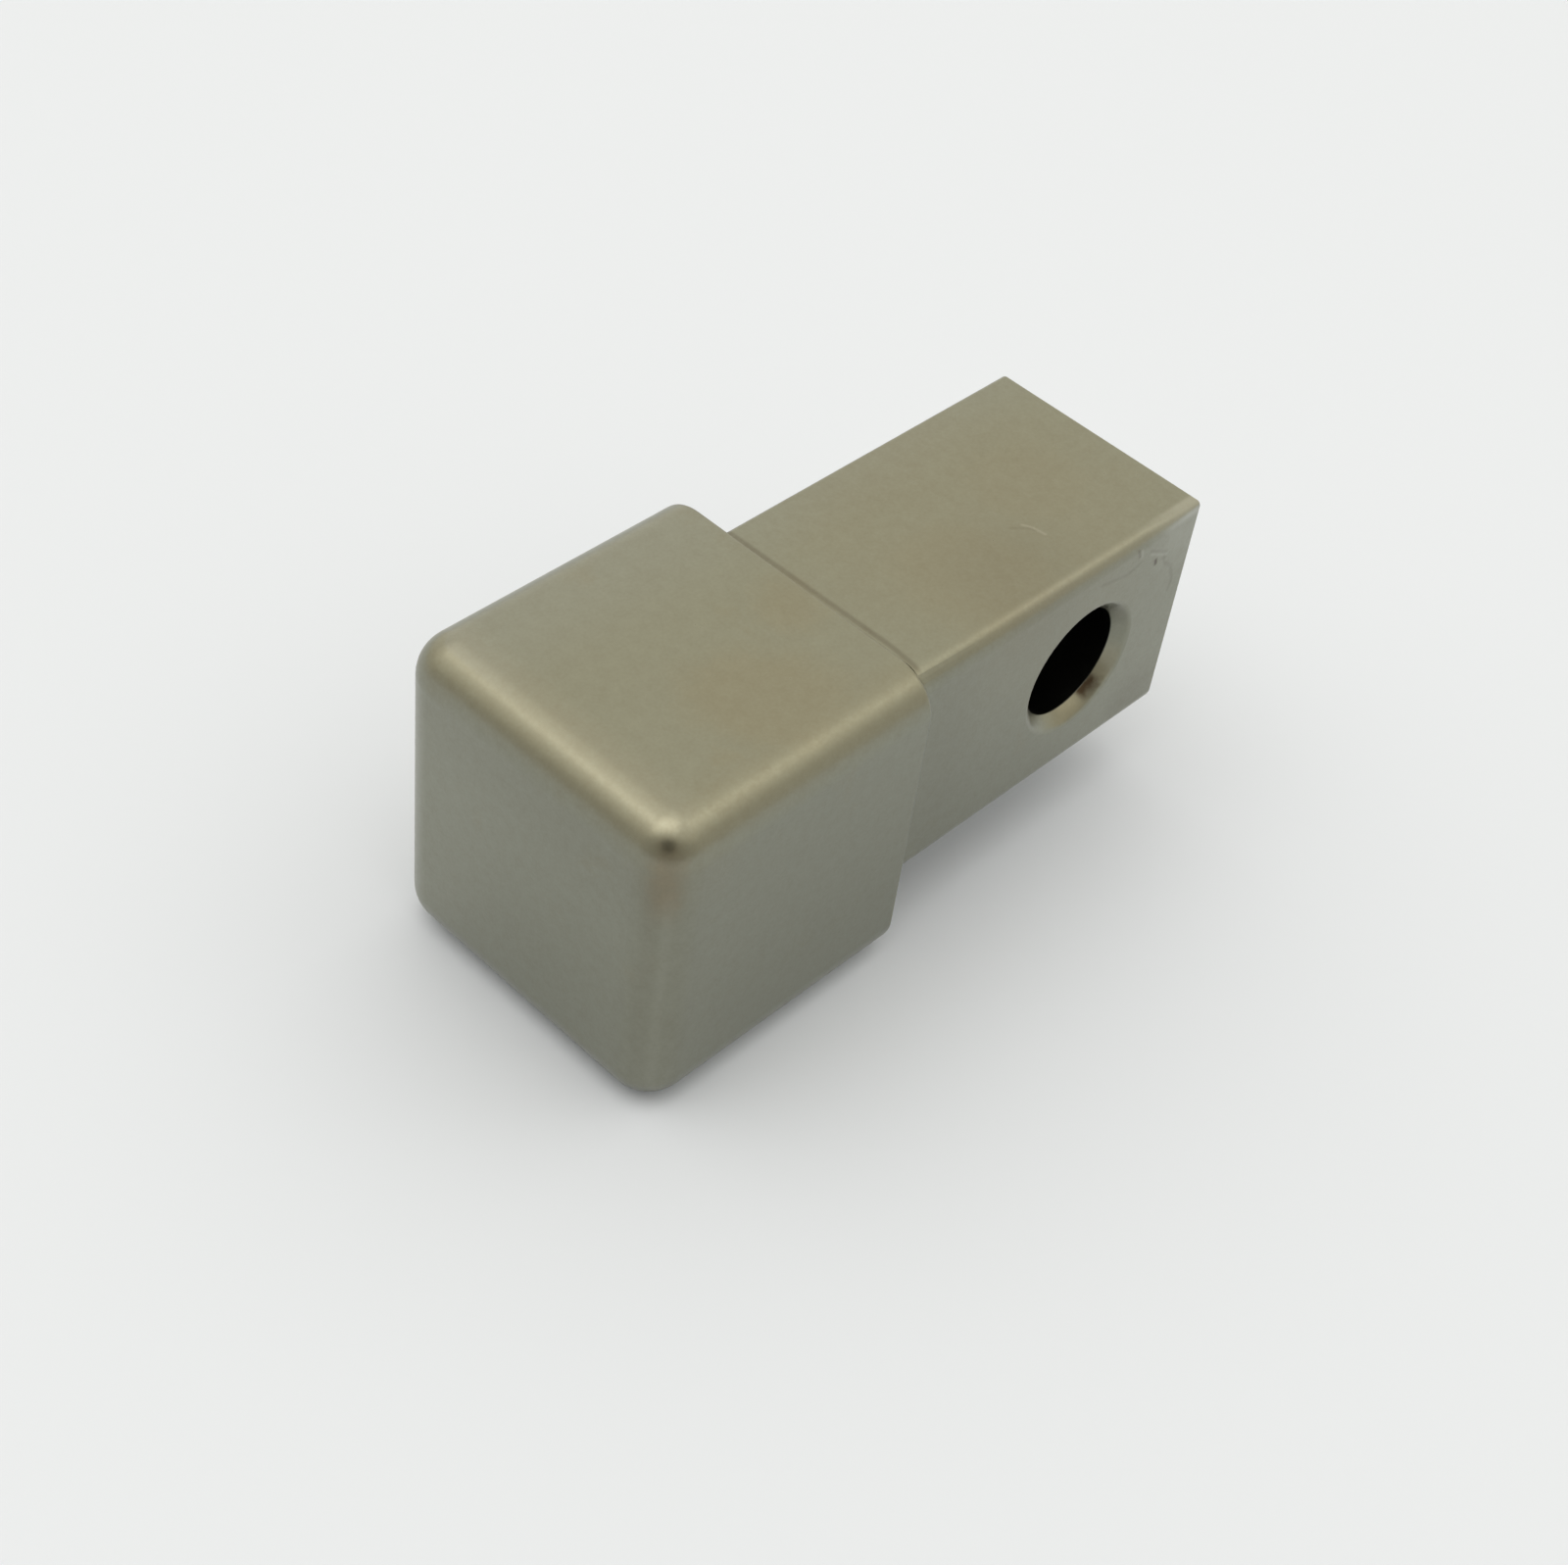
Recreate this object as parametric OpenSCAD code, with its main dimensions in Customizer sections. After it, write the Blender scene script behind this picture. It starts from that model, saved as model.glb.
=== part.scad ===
// Corner connector for a square-edged trim channel: a solid cast block with a tang.
// The block closes the corner and stays in view. The tang slides into the channel and is held through its cross hole.
// +X runs along the tang, +Z is up. The origin is under the middle of the whole piece.

/* [Head] */
// Length of the head from its front face to the shoulder
head_l = 11.2; // [8:0.1:30]
// Width of the head between its side faces
head_w = 12; // [10:0.1:30]
// Height of the head
head_h = 12.2; // [10:0.1:30]
// Radius of the head's front and long edges
head_edge_r = 1.5; // [0.4:0.1:3]

/* [Tang] */
// Length of the tang from the shoulder to its free end
tang_l = 13.5; // [8:0.1:40]
// Width of the tang
tang_w = 8.8; // [6:0.1:9.4]
// Height of the tang
tang_h = 9.1; // [6:0.1:9.8]
// Step from the head's near side face in to the tang, the thickness of the channel's wall
side_step = 0.45; // [0.2:0.05:0.6]
// Step from the head's top face down to the tang
top_step = 0.05; // [0.02:0.01:0.2]
// Radius of the tang's long edges
tang_edge_r = 0.6; // [0.2:0.05:1]

/* [Cross hole] */
// Diameter of the hole through the tang
hole_d = 4.2; // [2:0.1:5]
// Distance from the tang's free end to the middle of the hole
hole_to_end = 5.1; // [4:0.1:8]
// Width and depth of the chamfer at each mouth of the hole
hole_chamfer = 0.45; // [0.1:0.05:0.6]

/* [Hidden] */
$fn = 96;
overrun = 1;
body_l = head_l + tang_l;
front_x = -body_l / 2;
shoulder_x = front_x + head_l;
end_x = front_x + body_l;
near_y = -head_w / 2;
tang_near_y = near_y + side_step;
tang_top_z = head_h - top_step;
tang_bottom_z = tang_top_z - tang_h;
hole_x = end_x - hole_to_end;
hole_z = tang_bottom_z + tang_h / 2;
satin_nickel = [0.56, 0.54, 0.46];

// Rectangle in the XY plane with its corners rounded, from the origin to [w, h]
module rounded_rectangle(w, h, r) {
    translate([r, 0]) square([w - 2 * r, h]);
    translate([0, r]) square([w, h - 2 * r]);
    for (x = [r, w - r], y = [r, h - r])
        translate([x, y]) circle(r);
}

// Block from the origin to [l, w, h]: its face at x = 0 and its long edges are rounded,
// with a ball at each front corner, and its face at x = l is left crisp
module end_rounded_block(l, w, h, r) {
    translate([r, 0, 0]) rotate([90, 0, 90]) linear_extrude(l - r) rounded_rectangle(w, h, r);
    translate([0, r, r]) cube([2 * r, w - 2 * r, h - 2 * r]);
    for (y = [r, w - r]) {
        translate([r, y, r]) cylinder(r = r, h = h - 2 * r);
        for (z = [r, h - r])
            translate([r, y, z]) sphere(r);
    }
    for (z = [r, h - r])
        translate([r, r, z]) rotate([-90, 0, 0]) cylinder(r = r, h = w - 2 * r);
}

// Visible block, crisp where the cut end of the channel butts against its shoulder
module head() {
    translate([front_x, near_y, 0]) end_rounded_block(head_l, head_w, head_h, head_edge_r);
}

// Tang towards the near side and the top of the shoulder, cut off square at its free end
module tang() {
    translate([shoulder_x, tang_near_y, tang_bottom_z]) rotate([90, 0, 90])
        linear_extrude(tang_l) rounded_rectangle(tang_w, tang_h, tang_edge_r);
}

// Hole across the tang with a chamfer at both mouths
module cross_hole() {
    hole_r = hole_d / 2;
    mouth_r = hole_r + hole_chamfer;
    translate([hole_x, tang_near_y, hole_z]) rotate([-90, 0, 0]) {
        translate([0, 0, -overrun]) cylinder(r = hole_r, h = tang_w + 2 * overrun);
        cylinder(r1 = mouth_r, r2 = hole_r, h = hole_chamfer);
        translate([0, 0, tang_w - hole_chamfer]) cylinder(r1 = hole_r, r2 = mouth_r, h = hole_chamfer);
    }
}

module corner_connector() {
    color(satin_nickel)
        difference() {
            union() {
                head();
                tang();
            }
            cross_hole();
        }
}

corner_connector();
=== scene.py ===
"""Corner connector in satin nickel: one casting, with its finish, floor, lights and camera."""

import math

import bpy
from mathutils import Matrix, Vector


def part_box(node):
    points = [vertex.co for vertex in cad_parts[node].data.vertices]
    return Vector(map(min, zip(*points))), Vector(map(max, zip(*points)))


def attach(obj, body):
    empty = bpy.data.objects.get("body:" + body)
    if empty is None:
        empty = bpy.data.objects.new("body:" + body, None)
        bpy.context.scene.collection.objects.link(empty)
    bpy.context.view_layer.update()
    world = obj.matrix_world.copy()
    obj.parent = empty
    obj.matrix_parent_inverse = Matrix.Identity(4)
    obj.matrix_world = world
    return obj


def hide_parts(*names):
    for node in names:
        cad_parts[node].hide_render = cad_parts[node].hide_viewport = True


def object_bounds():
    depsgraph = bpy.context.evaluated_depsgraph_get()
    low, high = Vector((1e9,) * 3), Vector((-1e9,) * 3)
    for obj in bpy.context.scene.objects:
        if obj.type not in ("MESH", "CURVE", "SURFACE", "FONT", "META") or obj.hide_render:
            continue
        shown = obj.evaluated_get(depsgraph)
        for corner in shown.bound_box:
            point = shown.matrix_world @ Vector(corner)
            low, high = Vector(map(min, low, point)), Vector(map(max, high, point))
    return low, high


bl_info = {
    "name": "Corner Connector",
    "version": (1, 0, 0),
    "blender": (4, 5, 0),
    "location": "3D View > Sidebar > Connector",
    "description": "Builds a cast corner connector with a tang and a cross hole",
    "category": "Add Mesh",
}

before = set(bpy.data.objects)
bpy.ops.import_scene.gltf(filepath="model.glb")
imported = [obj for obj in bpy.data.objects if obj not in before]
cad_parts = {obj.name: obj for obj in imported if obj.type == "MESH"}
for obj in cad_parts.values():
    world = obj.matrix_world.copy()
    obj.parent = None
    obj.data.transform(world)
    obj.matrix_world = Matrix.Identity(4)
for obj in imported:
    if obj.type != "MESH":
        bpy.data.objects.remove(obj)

NODE = "corner_connector"
BODY = "root"
CAD_LOW, CAD_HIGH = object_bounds()
MM = 0.001
NEAR = 1e-7


# Sizes and colours


def length(name, description, default, **settings):
    """A size in metres, typed in the scene's own unit."""
    return bpy.props.FloatProperty(
        name=name, description=description, default=default, min=0.0, unit="LENGTH", precision=5, **settings
    )


def colour(name, description, default):
    """A colour in linear values."""
    return bpy.props.FloatVectorProperty(
        name=name, description=description, default=default, min=0.0, max=1.0, size=3, subtype="COLOR"
    )


def share(name, description, default):
    """A share from nothing to all."""
    return bpy.props.FloatProperty(
        name=name, description=description, default=default, min=0.0, max=1.0, subtype="FACTOR"
    )


def power(name, description, default):
    """The power of a light."""
    return bpy.props.FloatProperty(name=name, description=description, default=default, min=0.0, unit="POWER")


class ConnectorHeadSizes(bpy.types.PropertyGroup):
    """Sizes of the block that closes the corner."""

    length: length("Length", "From the front face to the shoulder", 11.2 * MM)
    edge_radius: length("Edge radius", "Radius of the front and long edges", 1.5 * MM)
    shoulder_break: length("Shoulder break", "Radius of the edge round the shoulder", 0.2 * MM)


class ConnectorTangSizes(bpy.types.PropertyGroup):
    """Sizes of the tang that slides into the channel."""

    width: length("Width", "Between the side faces", 8.8 * MM)
    height: length("Height", "Between the top and the underside", 9.1 * MM)
    side_step: length("Side step", "From the head's near face in to the tang", 0.45 * MM)
    top_step: length("Top step", "From the head's top down to the tang", 0.05 * MM)
    edge_radius: length("Edge radius", "Of the lower edges, and the near top edge before its tip", 0.6 * MM)
    root_radius: length("Root radius", "Radius of the near top edge at the shoulder", 0.9 * MM)
    sharp_radius: length("Sharp radius", "Of the far top edge, and the near one at the free end", 0.18 * MM)
    tip: length("Tip", "How far from the free end the near top edge begins to sharpen", 2.6 * MM)
    end_break: length("End break", "Radius of the edges round the free end", 0.1 * MM)
    root: length("Root", "How far the tang runs on inside the shoulder", 0.07 * MM)


class ConnectorHoleSizes(bpy.types.PropertyGroup):
    """Sizes of the cross hole."""

    diameter: length("Diameter", "Of the hole through the tang", 4.2 * MM)
    to_end: length("To end", "From the free end to the middle of the hole", 5.1 * MM)
    chamfer: length("Chamfer", "Width and depth of the chamfer at each mouth", 0.45 * MM)
    mouth_break: length("Mouth break", "Softening where the chamfer meets the tang's face", 0.12 * MM)
    bore_break: length("Bore break", "Softening where the chamfer meets the bore", 0.02 * MM)


class ConnectorFinish(bpy.types.PropertyGroup):
    """Colours and roughness of the plated finish, with the colours of its painted shade and reflections."""

    plating: colour("Plating", "Satin nickel over most of the casting", (0.276, 0.282, 0.2255))
    # Tan of the warm patches and gold marks, and of the painted warm band along the head's rims
    tan: colour("Tan patches", "Where the plating has a warmer cast", (0.276, 0.267, 0.2))
    tarnish: colour("Tarnish", "Brown cast at the front corner", (0.262, 0.236, 0.168))
    # Painted cool reflection, mixed in towards the far top edge
    cool_reflection_tint: colour("Cool cast", "Cooler cast of the plating towards its far top edge", (0.53, 0.65, 0.87))
    # Brown of the real stain and marks, and also the colour of all painted shade
    stain_and_shade: colour("Stain", "Brown of the spot on the hole's chamfer and of dark marks", (0.07, 0.05, 0.032))
    # Painted shade: a near-black wall that stands in for the shade inside the cross hole
    bore: colour("Bore", "Dark wall of the cross hole", (0.016, 0.018, 0.0225))
    roughness: share("Roughness", "Of the plated surface", 0.31)


class ConnectorStage(bpy.types.PropertyGroup):
    """Floor and lights."""

    floor: colour("Floor", "Pale floor under the casting", (0.71, 0.765, 0.885))
    light: colour("Light", "Tint of the studio light", (1.0, 0.94, 0.80))
    overhead: power("Overhead", "Of the broad light overhead", 15.1)
    core: power("Core", "Of the small bright middle of the overhead light", 4.65)
    core_tint: colour("Core tint", "Of the bright middle", (1.0, 0.945, 0.84))
    side: power("Side", "Of the small light towards the tang's near side", 0.65)
    room: share("Room", "Mean brightness of the room", 0.68)
    room_swing: share("Room swing", "How much brighter the room is behind and above the casting", 0.42)
    glow: share("Glow", "How much brighter the room is near the level of the floor", 0.11)
    camera_shade: share("Camera shade", "How much the camera darkens the room round it", 0.85)


# Work on meshes


def select_only(piece):
    """Leaves one object selected and active."""
    bpy.ops.object.select_all(action="DESELECT")
    piece.select_set(True)
    bpy.context.view_layer.objects.active = piece


def apply_place(piece):
    """Moves an object's place, turn and scale into its mesh."""
    select_only(piece)
    bpy.ops.object.transform_apply(location=True, rotation=True, scale=True)


def add_block(name, low, high):
    """A cube added between two corners."""
    bpy.ops.object.select_all(action="DESELECT")
    low, high = Vector(low), Vector(high)
    bpy.ops.mesh.primitive_cube_add(size=1.0, location=(low + high) / 2, scale=high - low)
    block = bpy.context.active_object
    block.name = name
    apply_place(block)
    return block


def deselect_mesh(piece):
    """Leaves one object selected, with nothing selected in its mesh."""
    select_only(piece)
    for part in (piece.data.vertices, piece.data.edges, piece.data.polygons):
        part.foreach_set("select", [False] * len(part))


def edges_at(x):
    """A test for edges whose two ends lie at one place along X."""
    return lambda a, b: abs(a.x - x) < NEAR and abs(b.x - x) < NEAR


def bevel_edges(piece, chosen, count, width, segments):
    """Bevels the edges for which chosen(a, b) holds, a and b being their ends, if there are count of them."""
    deselect_mesh(piece)
    mesh = piece.data
    found = 0
    for edge in mesh.edges:
        a, b = (mesh.vertices[i].co for i in edge.vertices)
        edge.select = chosen(a, b)
        found += edge.select
    if found != count:
        raise RuntimeError(f"{piece.name} has {found} edges to bevel there, not {count}")
    bpy.context.tool_settings.mesh_select_mode = (False, True, False)
    bpy.ops.object.mode_set(mode="EDIT")
    bpy.ops.mesh.bevel(
        offset_type="OFFSET",
        offset=width,
        segments=segments,
        profile=0.5,
        affect="EDGES",
        clamp_overlap=False,
    )
    bpy.ops.object.mode_set(mode="OBJECT")


def cut_across(piece, x):
    """Adds a loop of edges where a plane square to the X axis meets the piece."""
    deselect_mesh(piece)
    bpy.ops.object.mode_set(mode="EDIT")
    bpy.ops.mesh.select_all(action="SELECT")
    bpy.ops.mesh.bisect(plane_co=(x, 0.0, 0.0), plane_no=(1.0, 0.0, 0.0))
    bpy.ops.object.mode_set(mode="OBJECT")


def shrink_corner(piece, corner, reach, factor):
    """Scales one rounded corner of a loop across X about its sharp corner, so that its radius changes."""
    deselect_mesh(piece)
    for vertex in piece.data.vertices:
        off = vertex.co - corner
        vertex.select = abs(off.x) < NEAR and abs(off.y) < reach + NEAR and abs(off.z) < reach + NEAR
    bpy.context.tool_settings.mesh_select_mode = (True, False, False)
    bpy.ops.object.mode_set(mode="EDIT")
    bpy.ops.transform.resize(value=(1.0, factor, factor), center_override=corner)
    bpy.ops.object.mode_set(mode="OBJECT")


def apply_modifier(piece, kind, **settings):
    """Adds a modifier with its settings and applies it."""
    select_only(piece)
    bpy.ops.object.modifier_add(type=kind)
    modifier = piece.modifiers[-1]
    for name, value in settings.items():
        setattr(modifier, name, value)
    bpy.ops.object.modifier_apply(modifier=modifier.name)


def combine(piece, tool, operation):
    """Joins a tool to the piece or cuts it away, and removes the tool."""
    apply_modifier(piece, "BOOLEAN", operation=operation, solver="EXACT", object=tool)
    bpy.data.objects.remove(tool)


# Shader nodes


class Value:
    """A node's output that takes part in plain arithmetic."""

    def __init__(self, nodes, socket):
        self.nodes = nodes
        self.socket = socket

    def math(self, operation, *values):
        return self.nodes.node("ShaderNodeMath", {"operation": operation}, dict(enumerate(values)))

    def __add__(self, other):
        return self.math("ADD", self, other)

    def __radd__(self, other):
        return self.math("ADD", other, self)

    def __sub__(self, other):
        return self.math("SUBTRACT", self, other)

    def __rsub__(self, other):
        return self.math("SUBTRACT", other, self)

    def __mul__(self, other):
        return self.math("MULTIPLY", self, other)

    def __rmul__(self, other):
        return self.math("MULTIPLY", other, self)

    def __pow__(self, other):
        return self.math("POWER", self, other)


class Nodes:
    """The node tree of a material or of the world, built call by call."""

    def __init__(self, owner):
        owner.use_nodes = True
        self.tree = owner.node_tree
        self.tree.nodes.clear()

    def node(self, kind, settings=None, inputs=None, output=0):
        """Adds a node: its settings first, then the values or links of its sockets."""
        made = self.tree.nodes.new(kind)
        for name, value in (settings or {}).items():
            setattr(made, name, value)
        for name, value in (inputs or {}).items():
            if isinstance(value, Value):
                self.tree.links.new(value.socket, made.inputs[name])
            else:
                made.inputs[name].default_value = value
        return Value(self, made.outputs[output]) if made.outputs else made

    def between(self, value, low, high):
        """A smooth step from 0 at low to 1 at high, or the other way round when low is above high."""
        return self.node(
            "ShaderNodeMapRange",
            {"interpolation_type": "SMOOTHSTEP"},
            {"Value": value, "From Min": low, "From Max": high, "To Min": 0.0, "To Max": 1.0},
        )

    def split(self, vector):
        """The three parts of a vector."""
        first = self.node("ShaderNodeSeparateXYZ", {}, {0: vector})
        return [Value(self, part) for part in first.socket.node.outputs]

    def limit(self, value):
        """The value kept from 0 to 1."""
        return self.node("ShaderNodeMath", {"operation": "ADD", "use_clamp": True}, {0: value, 1: 0.0})

    def highest(self, first, *others):
        """The highest of some values."""
        for other in others:
            first = self.node("ShaderNodeMath", {"operation": "MAXIMUM"}, {0: first, 1: other})
        return first

    def size_of(self, value):
        """The value without its sign."""
        return self.node("ShaderNodeMath", {"operation": "ABSOLUTE"}, {0: value})

    def apart(self, u, v, point):
        """Distance of a place from a point, both given by two parts."""
        off_u, off_v = u - point[0], v - point[1]
        return (off_u * off_u + off_v * off_v) ** 0.5

    def stroke(self, u, v, points, width):
        """A fine line through points on a flat face: 1 on the line, 0 beside it."""
        stretches = []
        for (u0, v0), (u1, v1) in zip(points, points[1:]):
            du, dv = u1 - u0, v1 - v0
            reach = self.limit(((u - u0) * du + (v - v0) * dv) * (1 / (du * du + dv * dv)))
            off = self.apart(u - reach * du, v - reach * dv, (u0, v0))
            stretches.append(self.between(off, width, 0.0))
        return self.highest(*stretches)

    def mix(self, factor, first, second):
        """A blend of two colours."""
        inputs = {0: factor, 6: as_rgba(first), 7: as_rgba(second)}
        return self.node("ShaderNodeMix", {"data_type": "RGBA"}, inputs, output=2)

    def noise(self, place, scale, detail):
        """Cloudy noise from 0 to 1."""
        return self.node(
            "ShaderNodeTexNoise",
            {"noise_dimensions": "3D"},
            {"Vector": place, "Scale": scale, "Detail": detail, "Roughness": 0.5},
        )

    def along(self, direction, axis):
        """How far a direction points along an axis."""
        inputs = {0: direction, 1: axis}
        return self.node("ShaderNodeVectorMath", {"operation": "DOT_PRODUCT"}, inputs, output=1)

    def distance(self, place, point):
        """Distance of a place from a point."""
        inputs = {0: place, 1: point}
        return self.node("ShaderNodeVectorMath", {"operation": "DISTANCE"}, inputs, output=1)


def as_rgba(value):
    """A plain colour as four numbers; a socket stays as it is."""
    return value if isinstance(value, Value) else (*value, 1.0)


# Finish, with places and sizes in millimetres. A step is where it begins and where it is full.

# Scale and detail of each noise, and the value round which it swings
CLOUDS = (0.35, 3.0)
SPECKLE = (2.5, 3.0)
GRAIN = (9.0, 2.0)
NOISE_MEAN = 0.5

# Middle, step and strength of each warm patch, and how the noises shift its rim
WARM_PATCHES = (
    ((-5.6, -3.1, 12.2), (3.4, 1.2), 0.9),
    ((-2.4, -0.6, 12.2), (2.0, 0.4), 0.8),
    ((3.6, -3.2, 12.2), (4.2, 1.5), 0.75),
    ((8.2, -1.2, 12.2), (3.6, 1.2), 0.65),
    ((5.6, -1.4, 12.2), (8.0, 4.0), 0.4),
    ((-11.4, -5.6, 11.6), (3.0, 0.8), 0.4),
)
PATCH_CLOUDS = 2.5
PATCH_SPECKLE = 1.2
# Warm cast where the clouds are thick, a painted warm reflection band along the head's rims, and in the fine
# mottling
WARM_CLOUD_STEP = (0.12, 0.35)
PAINTED_WARM_BAND = 0.5
WARM_SPECKLE = 0.5
WARM_GRAIN = 0.7

# Zones, each given by an axis and a step, once or more
ZONES = {
    "front_rim": (("x", -9.8, -11.2),),
    "near_rim": (("y", -3.6, -5.0), ("x", -1.0, -1.3)),
    "top_rim": (("z", 10.8, 11.5),),
    # painted highlight on the upper part of the head's front edge
    "painted_front_fillet_highlight": (("x", -9.8, -11.2), ("z", 11.7, 12.1)),
    "high_front": (("x", -12.0, -12.3), ("z", 7.5, 10.5)),
    # painted light on the far part of the front face
    "painted_far_front_light": (("x", -12.0, -12.3), ("y", -2.0, 6.0)),
    # painted cool reflection towards the far top edge
    "painted_far_top_reflection": (("y", 0.5, 5.0), ("z", 12.0, 12.1)),
    # painted light low down on the faces
    "painted_foot_light": (("z", 4.0, 1.0),),
    "tang_top": (("z", 12.1, 12.14), ("x", -1.0, -0.8)),
    "tang_side": (("y", -5.5, -5.545),),
    # painted shade on the tang's near side and edge beside the shoulder
    "painted_root_shade": (("x", 2.5, 0.5), ("y", -4.9, -5.1), ("x", -1.0, -0.8)),
    # painted highlights along the tang's near top edge, in its middle and at its free end
    "painted_tang_edge_highlight_middle": (("y", -5.0, -5.2), ("z", 11.6, 11.9), ("x", 1.2, 5.0)),
    "painted_tang_edge_highlight_end": (("y", -5.0, -5.2), ("z", 11.6, 11.9), ("x", 9.0, 11.9)),
}
# Round patches: middle, step, and how ragged the rim is
PATCHES = {
    "dim": ((4.6, -4.2, 12.2), (3.8, 0.8), 1.5),
    # painted shade low on the tang's near side, towards its free end
    "painted_low_corner_shade": ((11.0, -5.55, 4.0), (2.0, 0.4), 0.0),
    # painted light at the far top of the tang's near side
    "painted_far_end_light": ((12.2, -5.55, 11.6), (2.6, 0.6), 1.2),
}
# Upright marks, painted shade and a painted highlight at the front corner: middle, step, step in height, and
# how ragged the rim is
COLUMNS = {
    "corner_streak": ((-12.12, -5.65), (0.9, 0.2), (8.2, 10.2), 0.6),
    # painted shade down the front vertical edge, below the corner
    "painted_front_corner_shade": ((-12.2, -5.85), (1.9, 0.4), (11.5, 10.0), 0.0),
    # painted highlight, a faint light line down the front vertical edge
    "painted_vertical_edge_highlight": ((-11.85, -5.62), (0.26, 0.04), (10.6, 9.6), 0.0),
    "front_line": ((-12.15, -5.2), (0.45, 0.1), (10.6, 8.8), 0.0),
}
# Fine lines on the tang's top, as points along X and Y with a width
TOP_LINES = {
    "scratch": ((((6.62, -2.55), (6.72, -2.72), (6.80, -2.91), (6.83, -3.09), (6.86, -3.34)), 0.1),),
    "scratch_shade": ((((6.19, -2.42), (6.42, -2.60), (6.67, -2.80), (6.73, -3.00)), 0.09),),
}
# Fine lines on the tang's near side, as points along X and Z with a width
SIDE_LINES = {
    "tick": ((((9.12, 11.88), (9.28, 11.38)), 0.12),),
    # painted highlights on the lit edges of the tick and flow marks
    "painted_mark_highlights": (
        (((9.37, 11.58), (9.46, 11.28)), 0.12),
        (((9.97, 11.13), (10.92, 10.63)), 0.12),
    ),
    "flow": (
        (((9.92, 11.28), (10.87, 10.78)), 0.13),
        (((10.80, 10.62), (10.90, 10.28), (11.37, 9.92), (11.68, 9.14), (11.60, 8.74)), 0.15),
        (((9.39, 11.02), (8.76, 10.89), (7.42, 11.16)), 0.15),
    ),
    "pit": ((((10.33, 10.68), (10.38, 10.52)), 0.14),),
}
# Marks, painted shade and a painted glint on the chamfer: turns round the hole in degrees, how far beyond the
# bore, width, and how ragged
CHAMFER_ARCS = {
    "spot": (((-60, -48), 0.1, 0.38, 0.5),),
    "gold": (((-34, -22), 0.2, 0.9, 0.0), ((-90, -75), 0.2, 0.8, 0.0)),
    # painted shade on the chamfer's upper right
    "painted_chamfer_shade": (((25, 45), 0.25, 0.7, 0.0),),
    # painted glint on the chamfer's lower left
    "painted_chamfer_glint": (((-168, -154), 0.2, 0.42, 0.0),),
}
# The step along Y to the near mouth, how soft the chamfer's rim is, and the step at the bore's wall
CHAMFER_DEPTHS = (-3.0, -4.5)
CHAMFER_SOFTNESS = 0.08
BORE_STEP = (0.03, -0.01)

# Painted shade: the dark line along the shoulder, which is turned slightly and bends on to the edge at its
# near end
LINE_SHIFT = 0.05
LINE_TURN = 0.02
LINE_BEND = 0.1
LINE_BEND_ZONE = (("y", -3.6, -5.0),)
LINE_STEP = (0.17, 0.03)
LINE_ZONE = (("z", 11.6, 12.1), ("y", -5.3, -4.9))

# The share of stain where there is no mark, and how much each mask darkens or lightens the surface
MEAN_DARK = 0.105
# Darkening by stains, grain and marks, and painted shade
DARKER = {
    "grain": 0.13,
    "speckle": 0.15,
    "dim": 0.08,
    # painted shade down the front vertical edge
    "painted_front_corner_shade": 0.09,
    "front_line": 0.04,
    "high_front": 0.07,
    # painted shade along the shoulder, where the tang meets the head
    "painted_shoulder_shade": 0.3,
    # painted shade on the tang beside the shoulder
    "painted_root_shade": 0.05,
    # painted shade low on the tang's near side
    "painted_low_corner_shade": 0.14,
    # painted shade on the chamfer's upper right
    "painted_chamfer_shade": 0.15,
    "spot": 0.9,
    "flow": 0.15,
    "tick": 0.3,
    "pit": 0.8,
    "scratch_shade": 0.12,
}
# Lightening by light marks, and painted highlights and light
LIGHTER = {
    # painted light on the far part of the front face
    "painted_far_front_light": 0.02,
    # painted highlight on the upper part of the head's front edge
    "painted_front_fillet_highlight": 0.035,
    # painted highlight down the front vertical edge
    "painted_vertical_edge_highlight": 0.012,
    # painted light low down on the faces
    "painted_foot_light": 0.02,
    # painted highlights along the tang's near top edge
    "painted_tang_edge_highlight_middle": 0.03,
    "painted_tang_edge_highlight_end": 0.09,
    # painted glint on the chamfer's lower left
    "painted_chamfer_glint": 0.3,
    "scratch": 0.07,
    # painted highlights beside the tick and flow marks
    "painted_mark_highlights": 0.06,
    # painted light at the far top of the tang's near side
    "painted_far_end_light": 0.07,
}
# Pale colour of light marks and of painted highlights and light
PALE_AND_PAINTED_LIGHT = (1.0, 1.0, 0.95)
# How much of the painted cool reflection is mixed in
COOL_SHARE = 0.05
# How much each mask roughens the surface, and how much it raises or lowers it
ROUGHER = {"speckle": 0.06, "grain": 0.1}
RAISED = {"grain": 0.3, "scratch": 1.0, "flow": -1.0, "tick": -1.0, "pit": -2.0}
RELIEF_STRENGTH = 0.25
RELIEF_HEIGHT = 0.012 * MM


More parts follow.
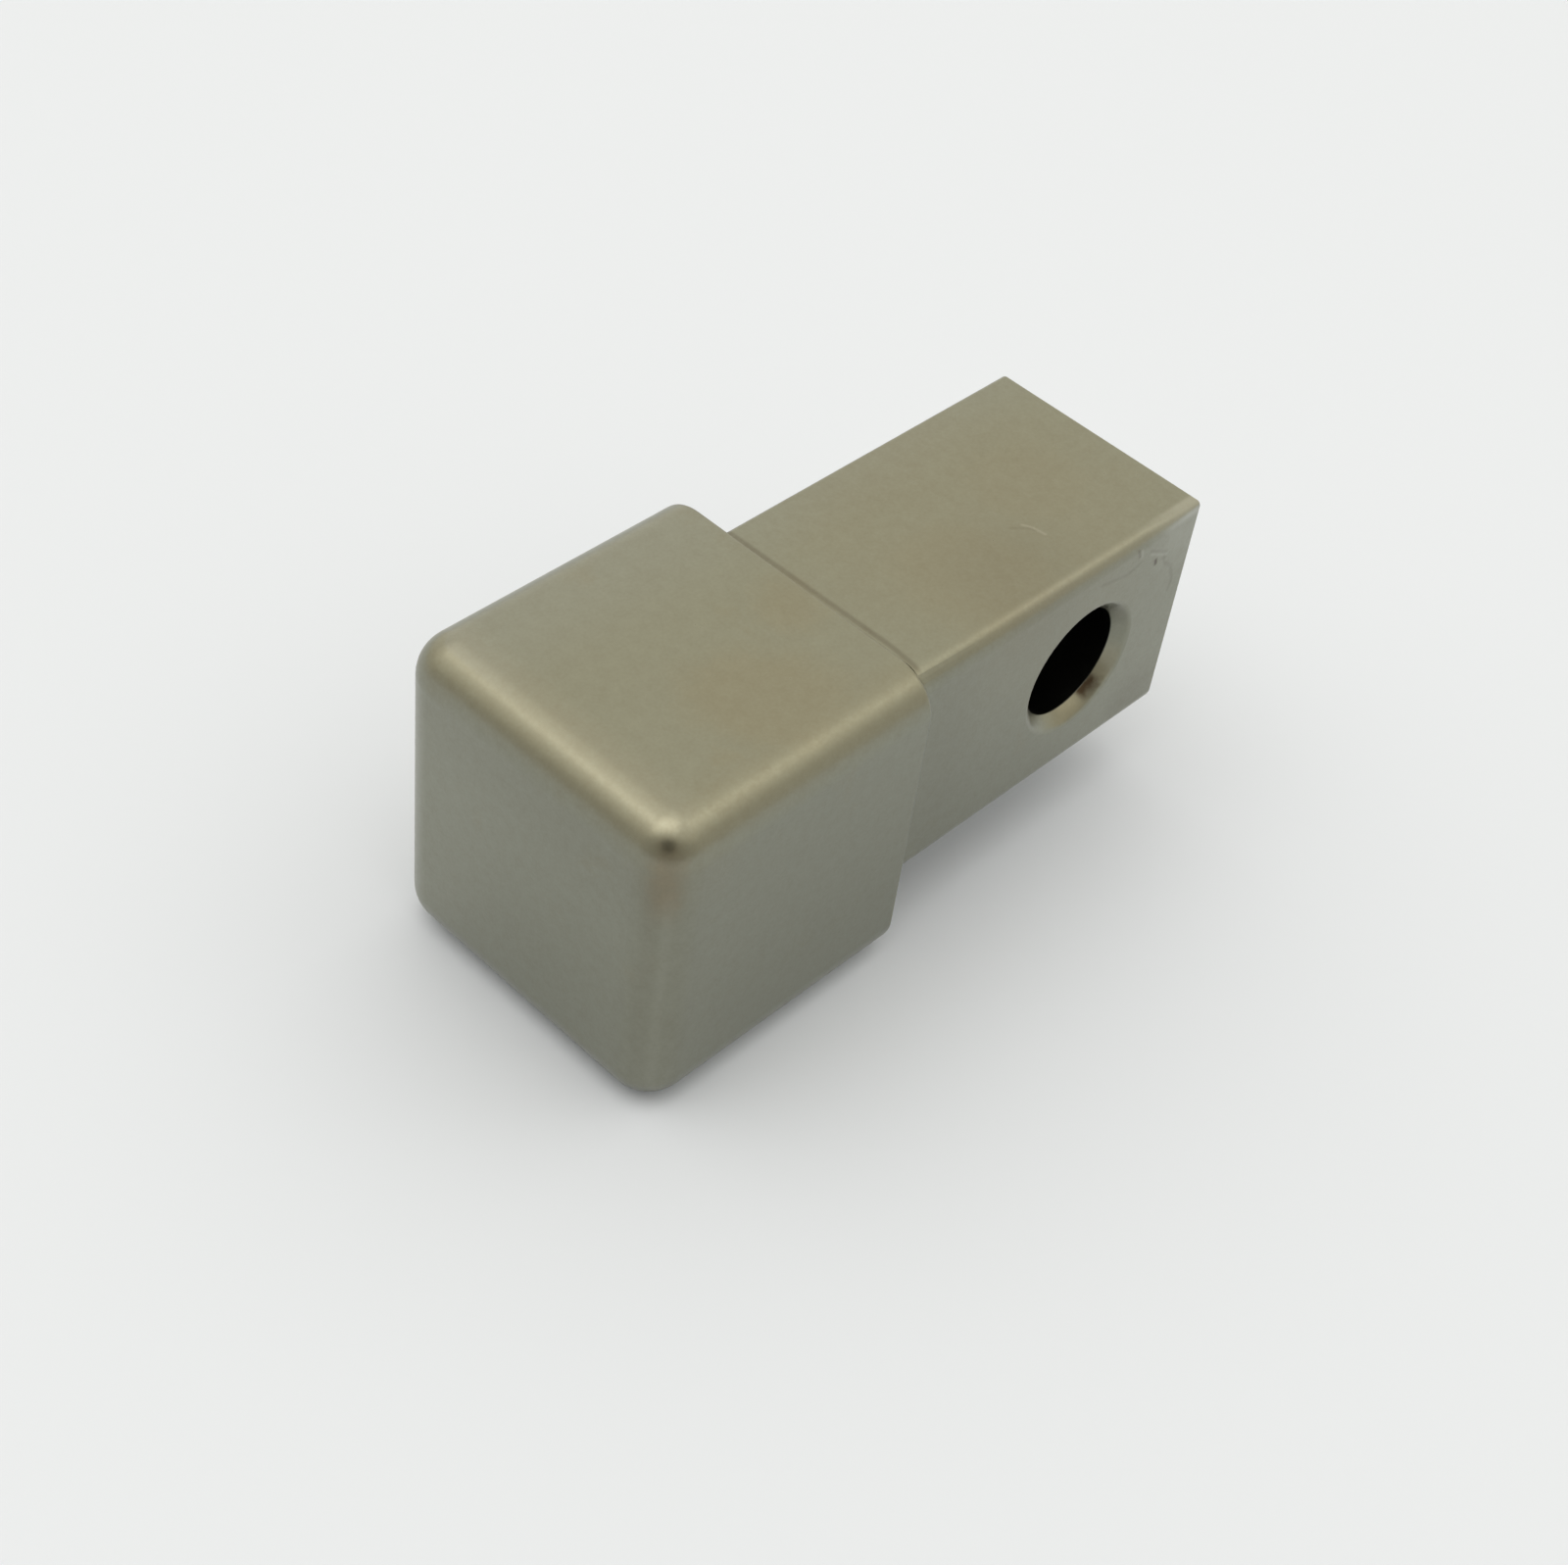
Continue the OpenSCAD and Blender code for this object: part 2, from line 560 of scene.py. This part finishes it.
class Surface:
    """A place on the casting in millimetres, with the noises there, which swing round zero."""

    def __init__(self, nodes):
        self.nodes = nodes
        place = nodes.node("ShaderNodeTexCoord", output=3)
        self.place = nodes.node("ShaderNodeVectorMath", {"operation": "SCALE"}, {0: place, "Scale": 1 / MM})
        self.x, self.y, self.z = nodes.split(self.place)
        self.clouds, self.speckle, self.grain = (
            nodes.noise(self.place, *noise) - NOISE_MEAN for noise in (CLOUDS, SPECKLE, GRAIN)
        )

    def ragged(self, value, amount):
        """A value that the speckle shifts to and fro."""
        return value + amount * self.speckle if amount else value

    def zone(self, steps):
        """1 where every step is full."""
        masks = [self.nodes.between(getattr(self, axis), begin, full) for axis, begin, full in steps]
        return math.prod(masks[1:], start=masks[0])

    def patch(self, middle, step, amount):
        """A round patch about a point."""
        return self.nodes.between(self.ragged(self.nodes.distance(self.place, middle), amount), *step)

    def column(self, middle, step, heights, amount):
        """An upright mark about a line, which fades along its height."""
        off = self.ragged(self.nodes.apart(self.x, self.y, middle), amount)
        return self.nodes.between(off, *step) * self.nodes.between(self.z, *heights)

    def lines(self, u, v, lines):
        """Fine lines, each given by its points and its width."""
        return self.nodes.highest(*[self.nodes.stroke(u, v, points, width) for points, width in lines])

    def arc(self, centre, radius, turns, beyond, width, amount):
        """A stroke between two turns of a ring a little beyond the bore."""
        ring = radius + beyond
        angles = [math.radians(turn) for turn in turns]
        points = [(centre.x + ring * math.cos(angle), centre.z + ring * math.sin(angle)) for angle in angles]
        return self.nodes.stroke(self.ragged(self.x, amount), self.z, points, width)


def hole_masks(surface, centre, radius, chamfer):
    """Masks of the bore's wall, painted dark as shade, and of the marks, painted shade and painted glint on
    the near mouth's chamfer.
    """
    nodes = surface.nodes
    rim = radius + chamfer
    across = nodes.apart(surface.x, surface.z, (centre.x, centre.z))
    # the bore's wall, which the finish paints dark as shade
    bore = nodes.between(across, *(radius + off for off in BORE_STEP))
    on_chamfer = nodes.between(across, rim + CHAMFER_SOFTNESS, rim - CHAMFER_SOFTNESS)
    on_chamfer = on_chamfer * nodes.between(surface.y, *CHAMFER_DEPTHS) * (1.0 - bore)
    masks = {"bore": bore}
    for name, arcs in CHAMFER_ARCS.items():
        strokes = [surface.arc(centre, radius, *arc) for arc in arcs]
        masks[name] = nodes.highest(*strokes) * on_chamfer
    return masks


def painted_shoulder_shade(surface, shoulder):
    """Painted shade: the dark line along the shoulder, which bends on to the edge itself at its near end."""
    bend = LINE_BEND * surface.zone(LINE_BEND_ZONE)
    off = surface.x - (shoulder + LINE_SHIFT) + LINE_TURN * surface.y + bend
    return surface.nodes.between(surface.nodes.size_of(off), *LINE_STEP) * surface.zone(LINE_ZONE)


def finish_masks(surface, hole_centre, hole_radius, chamfer, shoulder):
    """All masks of the finish by name, with the noises among them."""
    masks = {"speckle": surface.speckle, "grain": surface.grain}
    masks.update({name: surface.zone(steps) for name, steps in ZONES.items()})
    masks.update({name: surface.patch(*patch) for name, patch in PATCHES.items()})
    masks.update({name: surface.column(*column) for name, column in COLUMNS.items()})
    for name, lines in TOP_LINES.items():
        masks[name] = masks["tang_top"] * surface.lines(surface.x, surface.y, lines)
    for name, lines in SIDE_LINES.items():
        masks[name] = masks["tang_side"] * surface.lines(surface.x, surface.z, lines)
    # painted light, kept to the tang's near side
    masks["painted_far_end_light"] = masks["tang_side"] * masks["painted_far_end_light"]
    # painted shade along the shoulder
    masks["painted_shoulder_shade"] = painted_shoulder_shade(surface, shoulder)
    masks.update(hole_masks(surface, hole_centre, hole_radius, chamfer))
    return masks


def warm_share(surface, masks):
    """How warm the cast is: patches, a painted warm reflection band on the head's rims, and a fine mottling.
    """
    nodes = surface.nodes
    shares = [nodes.between(surface.clouds, *WARM_CLOUD_STEP)]
    for middle, step, strength in WARM_PATCHES:
        off = nodes.distance(surface.place, middle)
        off = off + PATCH_CLOUDS * surface.clouds + PATCH_SPECKLE * surface.speckle
        shares.append(strength * nodes.between(off, *step))
    rims = nodes.highest(masks["front_rim"], masks["near_rim"])
    # painted warm reflection band on the lower part of the head's rims
    shares.append(PAINTED_WARM_BAND * rims * masks["top_rim"])
    mottling = WARM_SPECKLE * surface.speckle + WARM_GRAIN * surface.grain
    return nodes.limit(nodes.highest(*shares) + mottling)


def weighed(masks, weights):
    """The sum of the named masks, each times its weight."""
    first, *others = (weight * masks[name] for name, weight in weights.items())
    return sum(others, start=first)


def satin_nickel(finish, hole_centre, hole_radius, chamfer, shoulder):
    """Plated casting: satin metal with warm patches, a fine grain, small marks, painted highlights, light and
    shade, and a bore painted dark as shade.
    """
    material = bpy.data.materials.new("satin_nickel_plating")
    nodes = Nodes(material)
    surface = Surface(nodes)
    masks = finish_masks(surface, hole_centre / MM, hole_radius / MM, chamfer / MM, shoulder / MM)
    base = finish.plating
    for factor, tint in (
        (warm_share(surface, masks), finish.tan),
        (masks["corner_streak"], finish.tarnish),
        (masks["gold"], finish.tan),
        # painted cool reflection towards the far top edge
        (COOL_SHARE * masks["painted_far_top_reflection"], finish.cool_reflection_tint),
        # darker towards the stain's brown for stains, grain and marks, and for painted shade
        (nodes.limit(MEAN_DARK + weighed(masks, DARKER)), finish.stain_and_shade),
        # lighter for light marks, and for painted highlights and light
        (nodes.limit(weighed(masks, LIGHTER)), PALE_AND_PAINTED_LIGHT),
        # painted shade in the bore
        (masks["bore"], finish.bore),
    ):
        base = nodes.mix(factor, base, tint)
    roughness = finish.roughness + weighed(masks, ROUGHER)
    relief = {"Strength": RELIEF_STRENGTH, "Distance": RELIEF_HEIGHT, "Height": weighed(masks, RAISED)}
    bump = nodes.node("ShaderNodeBump", {}, relief)
    metal = {"Base Color": base, "Roughness": roughness, "Metallic": 1.0, "Normal": bump}
    shader = nodes.node("ShaderNodeBsdfPrincipled", {}, metal)
    nodes.node("ShaderNodeOutputMaterial", {}, {"Surface": shader})
    return material


def floor_finish(stage):
    """Matt pale floor."""
    material = bpy.data.materials.new("pale_floor")
    nodes = Nodes(material)
    matt = {"Base Color": as_rgba(stage.floor), "Roughness": 0.9, "Specular IOR Level": 0.1}
    shader = nodes.node("ShaderNodeBsdfPrincipled", {}, matt)
    nodes.node("ShaderNodeOutputMaterial", {}, {"Surface": shader})
    return material


# Pieces

# Edges of the head's block away from the shoulder, and long edges of the tang's block
HEAD_EDGES = 8
TANG_EDGES = 4
HEAD_SEGMENTS = 16
SHOULDER_SEGMENTS = 4
TANG_SEGMENTS = 8
END_SEGMENTS = 3
CHAMFER_SEGMENTS = 1
BORE_SEGMENTS = 2
MOUTH_SEGMENTS = 5
DRILL_SIDES = 128
RING_TOLERANCE = 0.005 * MM
# How far along the tang the near top edge is halfway between its root radius and its edge radius
TAPER_MIDDLE = 0.35
SMOOTH_ANGLE = math.radians(40.0)
NORMAL_WEIGHT = 50


def outline_edges(segments):
    """How many edges a rectangle has round it once its four corners are rounded."""
    return 4 * (segments + 1)


class OBJECT_OT_connector_casting(bpy.types.Operator):
    """Add the casting: head, tang and cross hole in one piece"""

    bl_idname = "object.connector_casting"
    bl_label = "Connector Casting"

    def execute(self, context):
        scene = context.scene
        head, tang, hole = scene.connector_head, scene.connector_tang, scene.connector_hole
        low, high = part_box(NODE)
        shoulder = low.x + head.length
        casting = add_block("connector_casting", low, (shoulder, high.y, high.z))

        on_shoulder = edges_at(shoulder)
        bevel_edges(
            casting, lambda a, b: not on_shoulder(a, b), HEAD_EDGES, head.edge_radius, HEAD_SEGMENTS
        )
        shoulder_edges = outline_edges(HEAD_SEGMENTS)
        bevel_edges(casting, on_shoulder, shoulder_edges, head.shoulder_break, SHOULDER_SEGMENTS)

        tang_top = high.z - tang.top_step
        tang_low = Vector((shoulder - tang.root, low.y + tang.side_step, tang_top - tang.height))
        tang_high = Vector((high.x, tang_low.y + tang.width, tang_top))
        tang_block = add_block("tang_block", tang_low, tang_high)
        bevel_edges(
            tang_block, lambda a, b: abs(a.x - b.x) > NEAR, TANG_EDGES, tang.root_radius, TANG_SEGMENTS
        )
        centre = (tang_low + tang_high) / 2
        centre.x = high.x - hole.to_end
        radius = hole.diameter / 2
        self.drill(tang_block, hole, centre, radius, (tang_low.y, tang_high.y))
        self.taper_edges(tang_block, tang, tang_low, tang_high)
        combine(casting, tang_block, "UNION")

        select_only(casting)
        bpy.ops.object.shade_smooth_by_angle(angle=SMOOTH_ANGLE)
        apply_modifier(casting, "WEIGHTED_NORMAL", mode="FACE_AREA", weight=NORMAL_WEIGHT, keep_sharp=True)

        finish = satin_nickel(scene.connector_finish, centre, radius, hole.chamfer, shoulder)
        casting.data.materials.clear()
        casting.data.materials.append(finish)
        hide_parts(NODE)
        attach(casting, BODY)
        return {"FINISHED"}

    def taper_edges(self, block, tang, low, high):
        """Leaves the full radius at the near top of the shoulder and makes it smaller everywhere else."""
        middle = low.x + TAPER_MIDDLE * (high.x - low.x)
        tip = high.x - tang.tip
        cut_across(block, middle)
        cut_across(block, tip)
        for x, near_top in (
            (low.x, tang.root_radius),
            (middle, (tang.root_radius + tang.edge_radius) / 2),
            (tip, tang.edge_radius),
            (high.x, tang.sharp_radius),
        ):
            for y, z, radius in (
                (low.y, high.z, near_top),
                (high.y, high.z, tang.sharp_radius),
                (low.y, low.z, tang.edge_radius),
                (high.y, low.z, tang.edge_radius),
            ):
                shrink_corner(block, Vector((x, y, z)), tang.root_radius, radius / tang.root_radius)

        bevel_edges(block, edges_at(high.x), outline_edges(TANG_SEGMENTS), tang.end_break, END_SEGMENTS)

    def drill(self, block, hole, centre, radius, mouths):
        """Cuts the cross hole and chamfers both its mouths."""
        bpy.ops.object.select_all(action="DESELECT")
        bpy.ops.mesh.primitive_cylinder_add(
            vertices=DRILL_SIDES,
            radius=radius,
            depth=2 * (mouths[1] - mouths[0]),
            location=centre,
            rotation=(math.pi / 2, 0.0, 0.0),
        )
        cutter = bpy.context.active_object
        apply_place(cutter)
        combine(block, cutter, "DIFFERENCE")

        def bevel_ring(ring_radius, depth, width, segments):
            """Bevels the ring of one radius at one depth below both mouths."""

            def on_ring(a, b):
                offs = [math.hypot(end.x - centre.x, end.z - centre.z) - ring_radius for end in (a, b)]
                depths = [min(abs(end.y - mouth) for mouth in mouths) - depth for end in (a, b)]
                return abs(a.y - b.y) < NEAR and max(abs(off) for off in offs + depths) < RING_TOLERANCE

            bevel_edges(block, on_ring, 2 * DRILL_SIDES, width, segments)

        bevel_ring(radius, 0.0, hole.chamfer, CHAMFER_SEGMENTS)
        bevel_ring(radius, hole.chamfer, hole.bore_break, BORE_SEGMENTS)
        bevel_ring(radius + hole.chamfer, 0.0, hole.mouth_break, MOUTH_SEGMENTS)


# Stage, with lengths in metres and angles in degrees

FLOOR_RADIUS = 4.0
FLOOR_SIDES = 64
CAMERA_PLACE = (-0.0494704, -0.0393240, 0.0654183)
CAMERA_TURN = (44.816, -5.8856, -45.3684)
CAMERA_LENS = 60.23
# The camera's sensor is in millimetres, like its lens
CAMERA_SENSOR = 36.0
CAMERA_NEAREST = 0.001
CAMERA_FARTHEST = 20.0
LIGHT_DISTANCE = 1.5
# Long and short side of each light, its tilt towards the camera, its shift sideways and its turn
OVERHEAD_LIGHT = (6.62, 1.95, 5.5, -4.6, -4.6)
CORE_LIGHT = (1.66, 0.85, 9.5, -13.4, 0.0)
SIDE_LIGHT = (0.73, 0.45, -14.6, 39.9, 0.0)
# Heights of the room's brightest part and of the shade round the camera, and the angles where that fades
BRIGHT_HEIGHT = 40.0
SHADE_HEIGHT = 36.0
SHADE_ANGLES = (21.0, 11.0)
# The glow near the floor, by how far a direction points up
GLOW_STEP = (0.42, 0.15)
UP = Vector((0.0, 0.0, 1.0))
TOWARDS_CAMERA = Vector((CAMERA_PLACE[0], CAMERA_PLACE[1], 0.0)).normalized()


def aim(thing, place, up):
    """Puts a light at a place, facing the origin, with its long side square to the up direction."""
    back = place.normalized()
    across = up.cross(back).normalized()
    turn = Matrix((across, back.cross(across), back)).transposed()
    thing.matrix_world = Matrix.Translation(place) @ turn.to_4x4()


def raised(level, degrees):
    """A level direction tilted up."""
    angle = math.radians(degrees)
    return level * math.cos(angle) + UP * math.sin(angle)


class OBJECT_OT_connector_stage(bpy.types.Operator):
    """Add the pale floor, the studio lights and the camera"""

    bl_idname = "object.connector_stage"
    bl_label = "Connector Stage"

    def execute(self, context):
        scene = context.scene
        stage = scene.connector_stage
        bpy.ops.object.select_all(action="DESELECT")
        bpy.ops.mesh.primitive_circle_add(
            vertices=FLOOR_SIDES, radius=FLOOR_RADIUS, fill_type="NGON", location=(0.0, 0.0, CAD_LOW.z)
        )
        floor = context.active_object
        floor.name = "pale_floor"
        floor.data.materials.append(floor_finish(stage))

        self.hang_light(context, "overhead_softbox", stage.overhead, stage.light, OVERHEAD_LIGHT)
        self.hang_light(context, "softbox_core", stage.core, stage.core_tint, CORE_LIGHT)
        self.hang_light(context, "side_light", stage.side, stage.light, SIDE_LIGHT)
        self.light_room(scene, stage)

        bpy.ops.object.camera_add(
            location=CAMERA_PLACE, rotation=[math.radians(turn) for turn in CAMERA_TURN]
        )
        camera = context.active_object
        camera.name = "photo_camera"
        camera.data.lens = CAMERA_LENS
        camera.data.sensor_width = CAMERA_SENSOR
        camera.data.clip_start = CAMERA_NEAREST
        camera.data.clip_end = CAMERA_FARTHEST
        scene.camera = camera
        scene.view_settings.view_transform = "Standard"
        scene.view_settings.look = "None"
        return {"FINISHED"}

    def hang_light(self, context, name, energy, tint, size_and_place):
        """Hangs a rectangular light over the casting, its long side across the camera's direction."""
        long_side, short_side, tilt, shift, turn = size_and_place
        level = Matrix.Rotation(math.radians(turn), 3, "Z") @ TOWARDS_CAMERA
        sideways = UP.cross(level)
        slope = math.tan(math.radians(tilt)) * level + math.tan(math.radians(shift)) * sideways
        place = LIGHT_DISTANCE * (UP + slope)
        bpy.ops.object.light_add(type="AREA", location=place)
        light = context.active_object
        light.name = name
        light.data.shape = "RECTANGLE"
        light.data.size = long_side
        light.data.size_y = short_side
        light.data.energy = energy
        light.data.color = tint
        light.visible_camera = False
        aim(light, place, -level)

    def light_room(self, scene, stage):
        """A room brighter behind and above the casting and low down, and shaded round the camera."""
        world = scene.world or bpy.data.worlds.new("studio_room")
        scene.world = world
        nodes = Nodes(world)
        direction = nodes.node("ShaderNodeTexCoord", output=0)
        brightest = nodes.along(direction, raised(-TOWARDS_CAMERA, BRIGHT_HEIGHT))
        camera_side = nodes.along(direction, raised(TOWARDS_CAMERA, SHADE_HEIGHT))
        shade = nodes.between(camera_side, *(math.cos(math.radians(angle)) for angle in SHADE_ANGLES))
        low_glow = nodes.between(nodes.along(direction, UP), *GLOW_STEP)
        room = stage.room + stage.room_swing * brightest + stage.glow * low_glow
        strength = room * (1.0 - stage.camera_shade * shade)
        light = {"Color": as_rgba(stage.light), "Strength": strength}
        background = nodes.node("ShaderNodeBackground", {}, light)
        nodes.node("ShaderNodeOutputWorld", {}, {"Surface": background})


class VIEW3D_PT_connector(bpy.types.Panel):
    """Lists the sizes, the colours and the steps that build the connector"""

    bl_idname = "VIEW3D_PT_connector"
    bl_label = "Corner Connector"
    bl_space_type = "VIEW_3D"
    bl_region_type = "UI"
    bl_category = "Connector"

    def draw(self, context):
        layout = self.layout
        for group in GROUPS:
            values = getattr(context.scene, group)
            box = layout.box()
            for name in values.bl_rna.properties.keys():
                if name not in ("rna_type", "name"):
                    box.prop(values, name)
        for step in STEPS:
            layout.operator(step.bl_idname)


STEPS = (OBJECT_OT_connector_casting, OBJECT_OT_connector_stage)
GROUPS = {
    "connector_head": ConnectorHeadSizes,
    "connector_tang": ConnectorTangSizes,
    "connector_hole": ConnectorHoleSizes,
    "connector_finish": ConnectorFinish,
    "connector_stage": ConnectorStage,
}
CLASSES = (*GROUPS.values(), *STEPS, VIEW3D_PT_connector)


def register():
    """Adds the classes and the groups of settings."""
    for made in CLASSES:
        bpy.utils.register_class(made)
    for name, group in GROUPS.items():
        setattr(bpy.types.Scene, name, bpy.props.PointerProperty(type=group))


def unregister():
    """Removes the groups of settings and the classes."""
    for name in GROUPS:
        delattr(bpy.types.Scene, name)
    for made in reversed(CLASSES):
        bpy.utils.unregister_class(made)


def main():
    """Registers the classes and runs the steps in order."""
    register()
    bpy.ops.object.connector_casting()
    bpy.ops.object.connector_stage()


if __name__ == "__main__":
    main()
